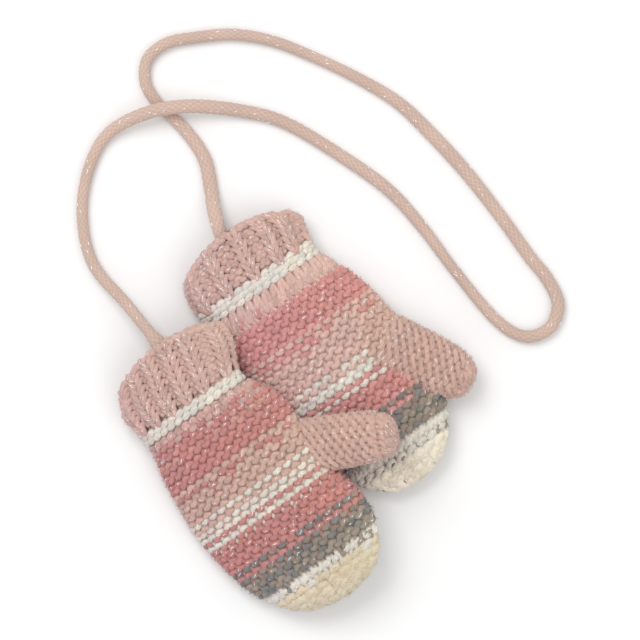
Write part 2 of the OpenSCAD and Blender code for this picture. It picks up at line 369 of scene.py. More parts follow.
class Weave:
    """Gathers tubes and sheets of one piece: vertices, faces, colours and two UV maps."""

    def __init__(self, rows):
        self.rows = rows
        self.verts = []
        self.quads = []
        self.colours = []
        self.bake = []
        self.yarn = []
        self.finish = []
        self.count = 0

    def grid(self, points, colours, row, band, closed, u_mm, v_mm, tall=1.0, finish=0):
        """Adds a K x M grid, periodic in M, and in K if closed. colours are K x M x 4.

        It takes the share band of a row of the bake map. u_mm and v_mm are its real lengths.
        """
        k, m = points.shape[:2]
        spans = k if closed else k - 1
        i, j = np.meshgrid(np.arange(spans), np.arange(m), indexing="ij")
        i2, j2 = (i + 1) % k, (j + 1) % m
        quad = np.stack([i * m + j, i * m + j2, i2 * m + j2, i2 * m + j], axis=-1)
        self.quads.append(quad.reshape(-1, 4) + self.count)
        self.finish.append(np.full(spans * m, finish))
        self.verts.append(points.reshape(-1, 3))
        self.colours.append(colours.reshape(-1, 4))
        self.count += k * m
        low = (row + BAKE_GAP) / self.rows
        high = (row + tall - BAKE_GAP) / self.rows
        ring = np.stack([i, i, i + 1, i + 1], axis=-1)
        u = band[0] + (band[1] - band[0]) * (ring / spans)
        v = np.stack([j, j + 1, j + 1, j], axis=-1) / m
        self.bake.append(np.stack([u, low + (high - low) * v], axis=-1).reshape(-1, 2))
        along_mm = np.append(u_mm, u_mm[-1] + (u_mm[-1] - u_mm[-2]))[ring]
        self.yarn.append(np.stack([along_mm, v * v_mm], axis=-1).reshape(-1, 2))

    def tube(self, centre, normal, radius, sides, colours, row, closed=True, band=(0, 1), flat=1.0,
             finish=0):
        """Yarn along a centreline. radius is a number or one per ring; colours are K x 4."""
        if closed:
            ahead = np.roll(centre, -1, axis=0) - np.roll(centre, 1, axis=0)
        else:
            ahead = np.gradient(centre, axis=0)
        t = ahead / np.maximum(np.linalg.norm(ahead, axis=1, keepdims=True), 1e-9)
        side = np.cross(t, normal)
        side = side / np.maximum(np.linalg.norm(side, axis=1, keepdims=True), 1e-9)
        up = np.cross(side, t)
        a = np.arange(sides) / sides * TAU
        radius = np.broadcast_to(radius, (len(centre),))[:, None, None]
        c, s = np.cos(a)[None, :, None], np.sin(a)[None, :, None]
        ring = c * side[:, None] + flat * s * up[:, None]
        points = centre[:, None] + radius * ring
        step = np.linalg.norm(np.diff(centre, axis=0), axis=1)
        reach = np.concatenate([[0], np.cumsum(step)])
        paint = np.repeat(colours[:, None, :], sides, axis=1)
        self.grid(points, paint, row, band, closed, reach, float(radius.mean()) * TAU, 1.0, finish)

    def sheet(self, points, colours, row, tall, girth=120.0):
        """Cloth round a skin, with rings about SHEET_STEP apart."""
        reach = np.arange(len(points)) * SHEET_STEP
        self.grid(points, colours, row, (0, 1), False, reach, girth, tall)

    def flecks(self, spots, ahead, outward, row):
        """Short bright threads laid on the yarn at the spots."""
        count = len(spots)
        side = np.cross(ahead, outward)
        x = np.linspace(-1, 1, 4)
        shine = np.ones((4, 4))
        for k in range(count):
            half = rng.uniform(*FLECK_HALF_LENGTH)
            bend = rng.uniform(*FLECK_BEND)
            line = spots[k] + np.outer(x * half, ahead[k]) + np.outer(x * bend * half, side[k])
            line = line + np.outer(0.1 - 0.28 * x * x * half, outward[k])
            normal = np.tile(outward[k], (4, 1))
            band = (k / count, (k + 0.9) / count)
            self.tube(line, normal, FLECK_R, 4, shine, row, False, band, 0.6, finish=1)

    def hairs(self, spots, ahead, outward, colours, row):
        """Fine loose fibres that stand off the yarn, a little paler than it."""
        count = len(spots)
        side = np.cross(ahead, outward)
        x = np.linspace(0, 1, 4)
        for k in range(count):
            a = rng.uniform(0, TAU)
            length = rng.uniform(*HAIR_LENGTH)
            rise = rng.uniform(*HAIR_RISE)
            run = np.cos(a) * ahead[k] + 0.6 * np.sin(a) * side[k]
            turn = rng.uniform(*HAIR_BEND) * np.cross(run, outward[k])
            line = spots[k] + np.outer(x * length, run) + np.outer(x * x * length, turn)
            line = line + np.outer(rise * np.sin(x * 2.2) - 0.1, outward[k])
            paint = np.ones((4, 4))
            paint[:, :3] = np.clip(colours[k, :3] * 1.12 + 0.03, 0, 1)
            band = (k / count, (k + 1) / count)
            normal = np.tile(outward[k], (4, 1))
            self.tube(line, normal, HAIR_R, 3, paint, row, False, band)

    def piece(self, name, place, *materials):
        """The finished object, with place taking its points to the shared frame."""
        verts = place(np.concatenate(self.verts)) * MM
        quads = np.concatenate(self.quads)
        mesh = bpy.data.meshes.new(name)
        mesh.vertices.add(len(verts))
        mesh.vertices.foreach_set("co", verts.ravel())
        mesh.loops.add(quads.size)
        mesh.loops.foreach_set("vertex_index", quads.ravel())
        mesh.polygons.add(len(quads))
        mesh.polygons.foreach_set("loop_start", np.arange(0, quads.size, 4))
        mesh.polygons.foreach_set("loop_total", np.full(len(quads), 4))
        mesh.polygons.foreach_set("use_smooth", np.ones(len(quads), bool))
        mesh.polygons.foreach_set("material_index", np.concatenate(self.finish).astype(np.int32))
        mesh.update(calc_edges=True)
        for title, data in (("OFBake", self.bake), ("Yarn", self.yarn)):
            layer = mesh.uv_layers.new(name=title)
            layer.data.foreach_set("uv", np.concatenate(data).ravel())
        paint = mesh.color_attributes.new("Dye", "FLOAT_COLOR", "POINT")
        paint.data.foreach_set("color", np.concatenate(self.colours).ravel())
        mesh.validate()
        obj = bpy.data.objects.new(name, mesh)
        bpy.context.scene.collection.objects.link(obj)
        for material in materials:
            mesh.materials.append(material)
        return obj


# ---- Stitches ------------------------------------------------------------------------------------

KNIT, PURL = 1, -1
# Pinch and flatness of the loops of each kind
SHAPE = {PURL: (0.16, 0.7), KNIT: (-0.01, 0.9)}
# lifts: the yarn's middle above the skin, by kind of wale. depth: how far its loops swing in and out.
# tilt: how much a loop slants. rings: samples of a stitch. sway, bob: unevenness along and outward.
Fabric = namedtuple("Fabric", "lifts depth tilt rings sway bob")
HAND = Fabric({PURL: -1.95, KNIT: -1.9}, 0.85, 0.5, 14, 0.22, 0.16)
TIP = HAND._replace(depth=0.45)
RIB = Fabric({KNIT: -1.3, PURL: -3.4}, 0.6, 0.0, 16, 0.25, 0.15)
EDGE = Fabric({KNIT: -1.7, PURL: -2.6}, 0.3, 0.0, 16, 0.2, 0.1)
THUMB = Fabric({PURL: -1.9}, 0.8, 0.7, 16, 0.2, 0.12)
# How far the backing lies under the skin
BACKING_INSET = 2.0
RIB_BACKING_INSET = 3.5
BACKING_SIDES = 96
# Spacing of the courses of a hand and of a thumb, stitches round each, and their yarn's radius
COURSE = 4.7
THUMB_COURSE = 4.0
HAND_STITCHES = 30
BAND_STITCHES = 28
TIP_STITCHES = 26
THUMB_STITCHES = 11
HAND_YARN = 1.28
RIB_YARN = 1.35
EDGE_YARN = 1.5
THUMB_YARN = 1.22
# How mottled the plain yarns are, and how far any dye drifts in shade and warmth along a course
# and from bump to bump. Each colour also shifts from the middle of a hand to its sides, as painted
# shade and light: darker and lilac towards -v, lighter and warmer towards +v
RIB_MOTTLE = 0.14
THUMB_MOTTLE = 0.12
SHADE_DRIFT = 0.05
WARM_DRIFT = 0.03
BUMP_DRIFT = 0.035
PAINTED_SIDE_TINT = np.array([0.02, 0.035, -0.02])
HALF_HAND = 35.0
# Silver flecks and loose fibres on each fabric
CUFF_LOOSE = (330, 3000)
HAND_LOOSE = (420, 2900)
TIP_LOOSE = (0, 500)
THUMB_LOOSE = (90, 1300)


def soft_noise(n, knots, low, high):
    """Smooth periodic noise of n samples with about that many knots."""
    knots = max(int(knots), 4)
    values = rng.uniform(low, high, knots)
    x = np.arange(n) / n * knots
    i = x.astype(int)
    f = x - i
    f = f * f * (3 - 2 * f)
    return values[i % knots] * (1 - f) + values[(i + 1) % knots] * f


def wales_of(kinds, widths, start=0.0):
    """Wales round the girth: list of (from, width, kind), as shares of the girth."""
    total = float(sum(widths))
    at = start
    out = []
    for kind, width in zip(kinds, widths):
        out.append((at, width / total, kind))
        at += width / total
    return out


class Course:
    """Path of one course of yarn round a skin, with which bump each ring belongs to."""

    def __init__(self, wales, mid, rise, fabric, skew=0.0):
        """The course's middle is at distance mid, and its loops reach rise to each side of it."""
        g, y, z, bump = [], [], [], []
        a = TAU * ((np.arange(fabric.rings) + 0.5) / fabric.rings - 0.5)
        swing = fabric.depth * signed_power(np.cos(2 * a), 0.8)
        for k, (at, width, kind) in enumerate(wales):
            pinch, flatness = SHAPE[kind]
            g.append(at + width * (a / TAU + 0.5 + pinch * np.sin(2 * a)))
            y.append(rise * signed_power(np.cos(a), flatness) + fabric.tilt * np.sin(2 * a))
            z.append(fabric.lifts[kind] - kind * swing)
            bump.append(2 * k + np.round((a + math.pi) / math.pi).astype(int))
        self.stitches = len(wales)
        self.g = np.concatenate(g)
        self.y = np.concatenate(y)
        z = np.concatenate(z)
        self.z = (np.roll(z, 1) + 2 * z + np.roll(z, -1)) / 4
        self.bump = np.concatenate(bump) % (2 * self.stitches)
        self.mid = mid
        self.rise = rise
        self.skew = skew
        self._shake(fabric.sway, fabric.bob)

    def _shake(self, sway, bob):
        """Makes the tension uneven from bump to bump."""
        n = len(self.g)
        self.y = self.y + soft_noise(n, self.stitches * 1.3, -sway, sway)
        self.z = self.z + soft_noise(n, self.stitches * 1.3, -bob, bob)

    def per_bump(self, spread):
        """Random values, the same for every ring of a bump."""
        return rng.normal(0, spread, 2 * self.stitches)[self.bump]

    def row_s(self):
        """Distance of the sub-row that each ring belongs to."""
        return self.mid + self.rise * np.where(self.bump % 2 == 1, 1.0, -1.0)

    def lay(self, skin):
        """Centreline, outward normals and the skin's stretch along the course."""
        s = np.clip(self.mid + self.y, skin.s[0] + 0.3, skin.s[-1] - 0.02)
        g = self.g + self.skew * self.y / skin.girth_at(self.mid)
        return skin.at(s, g, self.z), skin.normal(s, g), skin.stretched(s, g)


def dyed(colours, mottle, stitches):
    """Colours of a course's rings, with uneven dye, as K x 4."""
    n = len(colours)
    shade = 1 + soft_noise(n, stitches * 0.8, -1, 1) * SHADE_DRIFT
    shade = shade + mottle * soft_noise(n, stitches * 2.6, -0.5, 0.4)
    warm = soft_noise(n, stitches * 0.6, -1, 1) * WARM_DRIFT
    warmth = np.stack([1 + warm, np.ones(n), 1 - warm], axis=-1)
    shaded = np.clip(colours * shade[:, None] * warmth, 0, 1)
    return np.concatenate([shaded, np.ones((n, 1))], axis=1)


def backing(weave, skin, s_from, s_to, inset, colour_at, row):
    """The matted back of the yarn, behind the loops, so the fabric has no open holes."""
    s = np.linspace(s_from, s_to, max(int((s_to - s_from) / SHEET_STEP), 4))
    g = np.arange(BACKING_SIDES) / BACKING_SIDES
    ss, gg = np.meshgrid(s, g, indexing="ij")
    points = skin.at(ss, gg, np.full(ss.shape, -inset))
    colours = np.ones(points.shape[:2] + (4,))
    # Painted shade: the sheet takes the colour of the yarn above it, darkened to 0.9
    colours[..., :3] = colour_at(ss) * 0.9
    weave.sheet(points, colours, row, BACKING_ROWS)


def add_course(weave, skin, course, yarn, colours, mottle, row, sides=7):
    """Lays a course in the weave. Gives its outer line, directions, normals, colours and lifts."""
    centre, normal, stretch = course.lay(skin)
    n = len(centre)
    swell = np.clip(np.sqrt(stretch), 1, 1.4)
    radius = yarn * swell * (1 + soft_noise(n, course.stitches * 1.7, -0.09, 0.09))
    paint = dyed(colours, mottle, course.stitches)
    # Painted shade and light: colours turn darker and lilac towards -v, lighter and warmer towards +v
    across = np.clip(centre[:, 1:2] / HALF_HAND, -1, 1)
    paint[:, :3] = paint[:, :3] * (1 + across * PAINTED_SIDE_TINT)
    paint[:, :3] = np.clip(paint[:, :3] * (1 + course.per_bump(BUMP_DRIFT))[:, None], 0, 1)
    weave.tube(centre, normal, radius, sides, paint, row)
    ahead = np.roll(centre, -1, axis=0) - np.roll(centre, 1, axis=0)
    ahead /= np.linalg.norm(ahead, axis=1, keepdims=True)
    return centre + normal * (radius * 0.97)[:, None], ahead, normal, paint, course.z


def raised_rings(found, count):
    """Chooses about count of the raised rings of the courses: places, directions and colours."""
    spots, ahead, normal, paint, z = [np.concatenate(part) for part in zip(*found)]
    raised = z > np.median(z) + 0.1
    chosen = raised & (rng.random(len(z)) < count / raised.sum())
    return spots[chosen], ahead[chosen], normal[chosen], paint[chosen]


def finish_yarn(weave, found, loose, row):
    """Silver flecks and loose fibres over the courses, in two rows of the bake map."""
    flecks, hairs = loose
    if flecks:
        weave.flecks(*raised_rings(found, flecks)[:3], row)
    weave.hairs(*raised_rings(found, hairs), row + 1)


def knit_hand(name, skin, stripes, courses, place, materials, loose, fabric=HAND, gusset=None):
    """Striped fabric. Each course is (middle, stitches, rise, yarn radius, kind, skew).

    gusset is (s, v, radius) of the place where the palm has the thumb's colour.
    """
    rows = len(courses)
    weave = Weave(rows + 2 + BACKING_ROWS)
    found = []
    for row, (mid, stitches, rise, yarn, kind, skew) in enumerate(courses):
        wales = wales_of([kind] * stitches, [1] * stitches)
        course = Course(wales, mid, rise, fabric, skew)
        drift = soft_noise(len(course.g), 5, -1, 1)
        colours, mottle = stripes_strayed(stripes, course.row_s(), drift, course.per_bump(0.8))
        slate = (colours == GREY).all(axis=1) & (course.per_bump(1.0) > 0.3)
        colours[slate] = SLATE
        if gusset:
            spot = course.lay(skin)[0]
            away = np.hypot(spot[:, 0] - gusset[0], spot[:, 1] - gusset[1])
            colours[(away < gusset[2]) & (spot[:, 2] > 0)] = BEIGE
        found.append(add_course(weave, skin, course, yarn, colours, mottle, row))
    finish_yarn(weave, found, loose, rows)
    first, last = courses[0][0], courses[-1][0]
    backing(weave, skin, first - 1, last + 1, BACKING_INSET, lambda s: stripe_at(stripes, s)[0],
            rows + 2)
    return weave.piece(name, place, *materials)


def knit_rib(name, skin, rib, place, materials, colour=PINK):
    """Ribbed cuff with its cast-on edge.

    rib is (kinds, widths in mm, middle v of the first wale, rows, length).
    """
    kinds, widths, first_v, rows, length = rib
    pitch = length / rows
    weave = Weave(rows + 3 + BACKING_ROWS)
    start = skin.share_at(14, first_v) - 0.5 * widths[0] / sum(widths)
    wales = wales_of(kinds, widths, start)
    found = []
    for row in range(rows):
        mid = (row + 0.55) * pitch + 0.8
        course = Course(wales, mid, 0.78 * pitch, RIB)
        colours = np.tile(colour, (len(course.g), 1))
        found.append(add_course(weave, skin, course, RIB_YARN, colours, RIB_MOTTLE, row))
    edge = Course(wales, 1.4, 0.3, EDGE)
    colours = np.tile(colour, (len(edge.g), 1))
    add_course(weave, skin, edge, EDGE_YARN, colours, RIB_MOTTLE, rows)
    finish_yarn(weave, found, CUFF_LOOSE, rows + 1)
    backing(weave, skin, 0.8, length + 1, RIB_BACKING_INSET, lambda s: colour, rows + 3)
    return weave.piece(name, place, *materials)


def knit_thumb(name, skin, s_from, tip, place, materials, colour=BEIGE):
    """Close fabric: plump slanting lobes across the thumb."""
    middles = list(np.arange(s_from, tip - 6.5, THUMB_COURSE))
    middles += [tip - 6, tip - 3.6, tip - 1.8, tip - 0.5]
    rows = len(middles)
    weave = Weave(rows + 2 + BACKING_ROWS)
    full = skin.girth_at(5)
    found = []
    for row, mid in enumerate(middles):
        stitches = THUMB_STITCHES
        if mid >= tip - 4:
            stitches = max(int(round(THUMB_STITCHES * skin.girth_at(mid) / full)), 4)
        rise = 0.75 * THUMB_COURSE if mid < tip - 6.2 else 0.5 * (tip - mid)
        wales = wales_of([PURL] * stitches, [1] * stitches)
        course = Course(wales, mid, rise, THUMB)
        colours = np.tile(colour, (len(course.g), 1))
        found.append(add_course(weave, skin, course, THUMB_YARN, colours, THUMB_MOTTLE, row, 8))
    finish_yarn(weave, found, THUMB_LOOSE, rows)
    backing(weave, skin, s_from, tip - 0.3, BACKING_INSET, lambda s: colour, rows + 2)
    return weave.piece(name, place, *materials)


LINING_RINGS = 60
LINING_SIDES = 120
LINING_RIPPLE = 0.12


def fleece_bag(name, skin, s_from, s_to, inset, thickness, place, material):
    """A thin lining: outer and inner face of a bag, open at its start."""
    weave = Weave(2)
    s = s_from + (s_to - s_from) * np.sin(np.linspace(0, math.pi / 2, LINING_RINGS))
    g = np.arange(LINING_SIDES) / LINING_SIDES
    ss, gg = np.meshgrid(s, g, indexing="ij")
    ripple = LINING_RIPPLE * np.sin(gg * TAU * 17 + ss * 0.7) * np.sin(ss * 1.1)
    outer = skin.at(ss, gg, np.full(ss.shape, -inset))
    inner = skin.at(ss, gg, -inset - thickness + ripple)
    points = np.concatenate([outer[::-1], inner])
    colours = np.ones(points.shape[:2] + (4,))
    colours[..., :3] = FLEECE
    weave.sheet(points, colours, 0, 2.0, 150.0)
    return weave.piece(name, place, material)


# ---- Materials -----------------------------------------------------------------------------------

# Height of the relief of yarn and fleece
RELIEF = 0.6
# Slope of the plies round the yarn, and turn and stretch of the fibres' noise along it
PLY_SLANT = 0.75
FIBRE_TURN = 0.6
FIBRE_SCALE = (0.5, 2.6, 1)


def nodes_of(name):
    """A new material with one principled shader: the material, its tree and the shader."""
    material = bpy.data.materials.new(name)
    material.use_nodes = True
    tree = material.node_tree
    tree.nodes.clear()
    out = tree.nodes.new("ShaderNodeOutputMaterial")
    shader = tree.nodes.new("ShaderNodeBsdfPrincipled")
    tree.links.new(shader.outputs[0], out.inputs[0])
    return material, tree, shader


def set_inputs(node, values):
    """Sets the sockets with these names."""
    for title, value in values.items():
        node.inputs[title].default_value = value


def calculated(tree, operation, *values):
    """Output of a Math node. Each value is a number or another node's output."""
    node = tree.nodes.new("ShaderNodeMath")
    node.operation = operation
    for socket, value in zip(node.inputs, values):
        if isinstance(value, float):
            socket.default_value = value
        else:
            tree.links.new(value, socket)
    return node.outputs[0]


def noise(tree, place, scale, detail, roughness):
    """Output of a Noise texture at a place."""
    node = tree.nodes.new("ShaderNodeTexNoise")
    set_inputs(node, {"Scale": scale, "Detail": detail, "Roughness": roughness})
    tree.links.new(place, node.inputs["Vector"])
    return node.outputs[0]


def tint(tree, shader, pattern, seen, tones):
    """Base colour: the dye, from the lower to the upper tone as the pattern goes across seen."""
    dye = tree.nodes.new("ShaderNodeAttribute")
    dye.attribute_name = "Dye"
    span = tree.nodes.new("ShaderNodeMapRange")
    set_inputs(span, {"From Min": seen[0], "From Max": seen[1], "To Min": tones[0], "To Max": tones[1]})
    tree.links.new(pattern, span.inputs["Value"])
    toned = tree.nodes.new("ShaderNodeVectorMath")
    toned.operation = "SCALE"
    tree.links.new(dye.outputs["Color"], toned.inputs[0])
    tree.links.new(span.outputs[0], toned.inputs["Scale"])
    tree.links.new(toned.outputs[0], shader.inputs["Base Color"])


def relief(tree, shader, height, strength):
    """Bumps from a height of 0 to 1, which is RELIEF in millimetres."""
    bump = tree.nodes.new("ShaderNodeBump")
    set_inputs(bump, {"Strength": strength, "Distance": RELIEF * MM})
    tree.links.new(height, bump.inputs["Height"])
    tree.links.new(bump.outputs[0], shader.inputs["Normal"])


def yarn_material(name, ply=1.6, depth=0.4, fibre=0.34):
    """Dyed, plied, slightly hairy yarn. The Yarn map gives length and way round in millimetres.

    ply is the width of a ply, depth the strength of the relief, and fibre how far the colour
    changes from fibre to fibre.
    """
    material, tree, shader = nodes_of(name)
    uv = tree.nodes.new("ShaderNodeUVMap")
    uv.uv_map = "Yarn"
    # plies: slanting ridges round the yarn
    split = tree.nodes.new("ShaderNodeSeparateXYZ")
    tree.links.new(uv.outputs[0], split.inputs[0])
    slant = calculated(tree, "MULTIPLY_ADD", split.outputs[0], PLY_SLANT, split.outputs[1])
    ridge = calculated(tree, "SINE", calculated(tree, "MULTIPLY", slant, TAU / ply))
    # fibres: fine noise drawn out along the twist
    drawn = tree.nodes.new("ShaderNodeMapping")
    set_inputs(drawn, {"Rotation": (0, 0, FIBRE_TURN), "Scale": FIBRE_SCALE})
    tree.links.new(uv.outputs[0], drawn.inputs[0])
    fibres = noise(tree, drawn.outputs[0], 1.6, 5, 0.65)
    tint(tree, shader, fibres, (0.3, 0.7), (1 - fibre, 1 + fibre * 0.8))
    half_ridge = calculated(tree, "MULTIPLY", ridge, 0.5)
    relief(tree, shader, calculated(tree, "MULTIPLY_ADD", fibres, 1.6, half_ridge), depth)
    set_inputs(shader, {
        "Roughness": 0.92, "Specular IOR Level": 0.25, "Sheen Weight": 0.3, "Sheen Roughness": 0.6,
    })
    return material


def silver_material(name):
    """Bright metallised thread."""
    material, _, shader = nodes_of(name)
    set_inputs(shader, {"Base Color": (0.98, 0.97, 0.97, 1), "Metallic": 0.5, "Roughness": 0.3})
    return material


def fleece_material(name):
    """Short soft curls."""
    material, tree, shader = nodes_of(name)
    coords = tree.nodes.new("ShaderNodeTexCoord")
    curls = noise(tree, coords.outputs["Object"], 900, 4, 0.5)
    tint(tree, shader, curls, (0, 1), (0.8, 1.1))
    relief(tree, shader, curls, 0.5)
    set_inputs(shader, {"Roughness": 0.95, "Sheen Weight": 0.3})
    return material


# ---- Neck cord -----------------------------------------------------------------------------------

CORD_D = 5.6
REST = CORD_D / 2
OVER = CORD_D * 1.55
ROUTE = [
    [-31.5, 72.5, BACK_Z], [-34.5, 80.5, BACK_Z - 0.5], [-37, 89.5, 6.5], [-38.5, 99.5, REST],
    [-41, 112, REST], [-46.5, 121.5, REST], [-54.5, 130.5, REST], [-62.5, 138, REST],
    [-68, 147.5, REST], [-67, 158, REST], [-58.5, 165, REST], [-46.5, 167.5, REST],
    [-28.5, 169, REST], [-10.5, 166, REST], [7.5, 159, REST], [25.5, 150.5, REST],
    [45, 139, REST], [60, 125, REST], [76.5, 107, REST], [92.5, 86.5, REST],
    [105, 69, REST], [113, 59, REST], [118, 47.5, REST], [114, 36.5, REST],
    [102.5, 33, REST], [89.5, 41, REST], [71.5, 62.5, REST], [56.5, 82.5, REST],
    [41.5, 99, REST], [21.5, 113.5, REST], [-4.5, 129, REST],
    [-24.5, 134.5, REST + 0.5], [-48.5, 136.5, OVER - 0.2], [-68.5, 133, OVER - 0.2],
    [-85, 124, REST + 0.5], [-93.5, 108.5, REST], [-96.5, 87.5, REST], [-91.5, 65.5, 3.6],
    [-75.5, 46.5, 10], [-58, 25, FRONT_Z],
]
CORD_STEP = 0.28
CORD_SIDES = 30
# The tube is a soft oval, with a wider end where it goes into the front mouth
HALF_WIDE = 2.75
HALF_HIGH = 2.35
FLARE = 1.0
FLARE_FROM_END = 7.0
FLARE_REACH = 4.0
LOWEST = 0.15
# Stitches round the cord, their length, and the height of their relief
CORD_WALES = 8
CORD_PITCH = 3.3
CORD_RELIEF = 0.2
CORD_FLECKS = 120
# The bake map takes the cord in this many lengths
CORD_PARTS = 12


def route_line(points, step):
    """Smooth line through the points, in even steps, with how far along it each step is."""
    p = np.array(points, float)
    p = np.concatenate([p[:1], p, p[-1:]])
    fine = []
    for i in range(1, len(p) - 2):
        a, b, c, e = p[i - 1], p[i], p[i + 1], p[i + 2]
        f = (np.arange(60) / 60)[:, None]
        curve = (2 * a - 5 * b + 4 * c - e) * f**2 + (3 * b - a - 3 * c + e) * f**3
        fine.append(0.5 * (2 * b + (c - a) * f + curve))
    fine = np.concatenate(fine + [p[-1:]])
    reach = np.concatenate([[0], np.cumsum(np.linalg.norm(np.diff(fine, axis=0), axis=1))])
    even = np.linspace(0, reach[-1], int(reach[-1] / step) + 1)
    return np.stack([np.interp(even, reach, fine[:, k]) for k in range(3)], axis=-1), even


def wander(reach, step, size):
    """Smooth random values of up to size along the cord, with a knot every step."""
    knots = np.arange(0, 740, step)
    return np.interp(reach, knots, rng.uniform(-size, size, len(knots)))[:, None]


def knit_cord(materials):
    """A fine tubular knit: V stitches in relief on a soft tube. Also gives its middle line."""
    centre, reach = route_line(ROUTE, CORD_STEP)
    count = len(centre)
    ahead = np.gradient(centre, axis=0)
    ahead /= np.linalg.norm(ahead, axis=1, keepdims=True)
    side = np.cross([0, 0, 1.0], ahead)
    side /= np.linalg.norm(side, axis=1, keepdims=True)
    up = np.cross(ahead, side)
    a = np.arange(CORD_SIDES) / CORD_SIDES * TAU
    wide = HALF_WIDE + 0.25 * np.sin(reach / 41 + 1.0) + 0.15 * np.sin(reach / 17)
    wide += FLARE * np.exp(-(((reach - reach[-1] + FLARE_FROM_END) / FLARE_REACH) ** 2))
    high = HALF_HIGH - 0.15 * np.sin(reach / 41 + 1.0)
    twist = 0.9 * np.sin(reach / 55) + reach / 60
    phase = CORD_WALES * (a[None] + twist[:, None])
    rows = TAU * reach[:, None] / CORD_PITCH
    loose = wander(reach, 3, 0.5)
    checker = np.cos(phase + 0.6 * np.sin(rows) + loose) * np.cos(rows + 2 * loose)
    raised = CORD_RELIEF * checker - 0.04
    r_side = (wide[:, None] + raised) * np.cos(a)[None]
    r_up = (high[:, None] + raised) * np.sin(a)[None]
    points = centre[:, None] + r_side[..., None] * side[:, None] + r_up[..., None] * up[:, None]
    points[..., 2] = np.maximum(points[..., 2], LOWEST)
    shade = 1 + 0.05 * wander(reach, 9, 1)
    # Painted shade and light: darker in the grooves, lighter on the raised stitches, following the
    # relief
    relief_shading = 1 + 0.15 * raised / CORD_RELIEF
    colours = np.ones((count, CORD_SIDES, 4))
    colours[..., :3] = CORD_PINK * (shade * relief_shading)[..., None]
    weave = Weave(CORD_PARTS + 1)
    for part in range(CORD_PARTS):
        low = part * (count - 1) // CORD_PARTS
        top = (part + 1) * (count - 1) // CORD_PARTS + 1
        weave.grid(points[low:top], colours[low:top], part, (0, 1), False, reach[low:top],
                   CORD_D * math.pi)
    ring = rng.integers(8, count - 8, CORD_FLECKS)
    place = rng.integers(1, CORD_SIDES // 2 - 1, CORD_FLECKS)
    out = points[ring, place] - centre[ring]
    out /= np.linalg.norm(out, axis=1, keepdims=True)
    weave.flecks(points[ring, place], ahead[ring], out, CORD_PARTS)
    return weave.piece("neck_cord_knit", lambda p: p, *materials), centre


# ---- Stitches that hold the cord's ends ----------------------------------------------------------


POST_RINGS = 24
POST_FROM = -7.0
POST_R = 0.55
KNOT_RINGS = 48
KNOT_R = 0.45
THREAD = np.append(PINK * 0.92, 1.0)


def end_stitches(name, spot, material):
    """Thread that comes up through the cord and is tied in a trefoil knot on top of it."""
    weave = Weave(2)
    rise = np.linspace(POST_FROM, CORD_D / 2 + 0.8, POST_RINGS)
    post = np.stack([0.12 * np.sin(rise * 2), 0.12 * np.cos(rise * 2), rise], axis=-1)
    paint = np.tile(THREAD, (POST_RINGS, 1))
    weave.tube(post, np.tile([1.0, 0, 0], (POST_RINGS, 1)), POST_R, 10, paint, 0, False)
    a = np.arange(KNOT_RINGS) / KNOT_RINGS * TAU
    x = 0.3 * (np.sin(a) + 2 * np.sin(2 * a))
    y = 0.3 * (np.cos(a) - 2 * np.cos(2 * a))
    z = CORD_D / 2 + 1.3 - 0.45 * np.sin(3 * a)
    paint = np.tile(THREAD, (KNOT_RINGS, 1))
    knot = np.stack([x, y, z], axis=-1)
    weave.tube(knot, np.tile([0, 0, 1.0], (KNOT_RINGS, 1)), KNOT_R, 8, paint, 1)
    return weave.piece(name, lambda p: p + np.array(spot), material)


# ---- Build ---------------------------------------------------------------------------------------

# Ribs: (kinds, widths, middle v of the first wale, rows, length)
FRONT_RIB = (
    [KNIT, PURL, PURL] + [KNIT, PURL] * 12,
    [6.8, 3.7, 3.7] + [6.8, 3.6] * 12,
    24.7, 8, 28.8,
)
BACK_RIB = (
    [KNIT, PURL] + [KNIT, PURL, PURL] * 10,
    [5.6, 3.4] + [5.8, 3.6, 3.6] + [6.2, 4.6, 4.6] + [5.8, 3.6, 3.6] * 8,
    14.9, 6, 24.2,
)
# Where the palm has the thumb's colour: (s, v, radius)
BACK_GUSSET = (82.0, 27.0, 14.0)
# The purl courses of a hand start one course after this distance
HAND_FROM = 36.2
HAND_COURSES = 18
# A thumb starts this far inside the hand; points this far to each side of the hinge mark its root
THUMB_FROM = -7.0
THUMB_BEND = 7.0
LINING_INSET = 3.8
LINING_FROM = 6.0
LINING_TO = 136.5
LINING_THICKNESS = 1.2
THUMB_LINING_FROM = -8.0
THUMB_LINING_THICKNESS = 1.0


def hand_courses(side):
    """(middle, stitches, rise, yarn radius, kind, skew) of the courses of a hand.

    Both start with their white band. The back hand has a course of long knit stitches after it.
    """
    purl = [
        (HAND_FROM + COURSE * row, HAND_STITCHES, 0.75 * COURSE, HAND_YARN, PURL, 0.0)
        for row in range(1, HAND_COURSES + 1)
    ]
    if side == "front":
        band = [(32.2, BAND_STITCHES, 1.25, 1.8, PURL, 0.0)]
        return band + [(38.1, HAND_STITCHES, 1.8, 1.38, PURL, 0.0)] + purl
    band = [(mid, BAND_STITCHES, 1.15, 1.6, PURL, 0.0) for mid in (26.2, 28.8)]
    return band + [(35.2, HAND_STITCHES, 4.6, 1.45, KNIT, 0.35)] + purl


def tip_courses(skin):
    """Decreasing courses that close the fingertip."""
    out = []
    for mid, rise, yarn in (
        (125.9, 2.3, 1.35), (129.9, 2.6, 1.6), (133.2, 2.6, 2.0), (136.0, 2.1, 2.0),
        (137.9, 1.5, 2.0), (139.2, 0.9, 1.8), (139.8, 0.3, 1.6),
    ):
        stitches = int(round(TIP_STITCHES * skin.girth_at(mid) / skin.girth_at(110)))
        out.append((mid, max(stitches, 5), rise, yarn, PURL, 0.0))
    return out


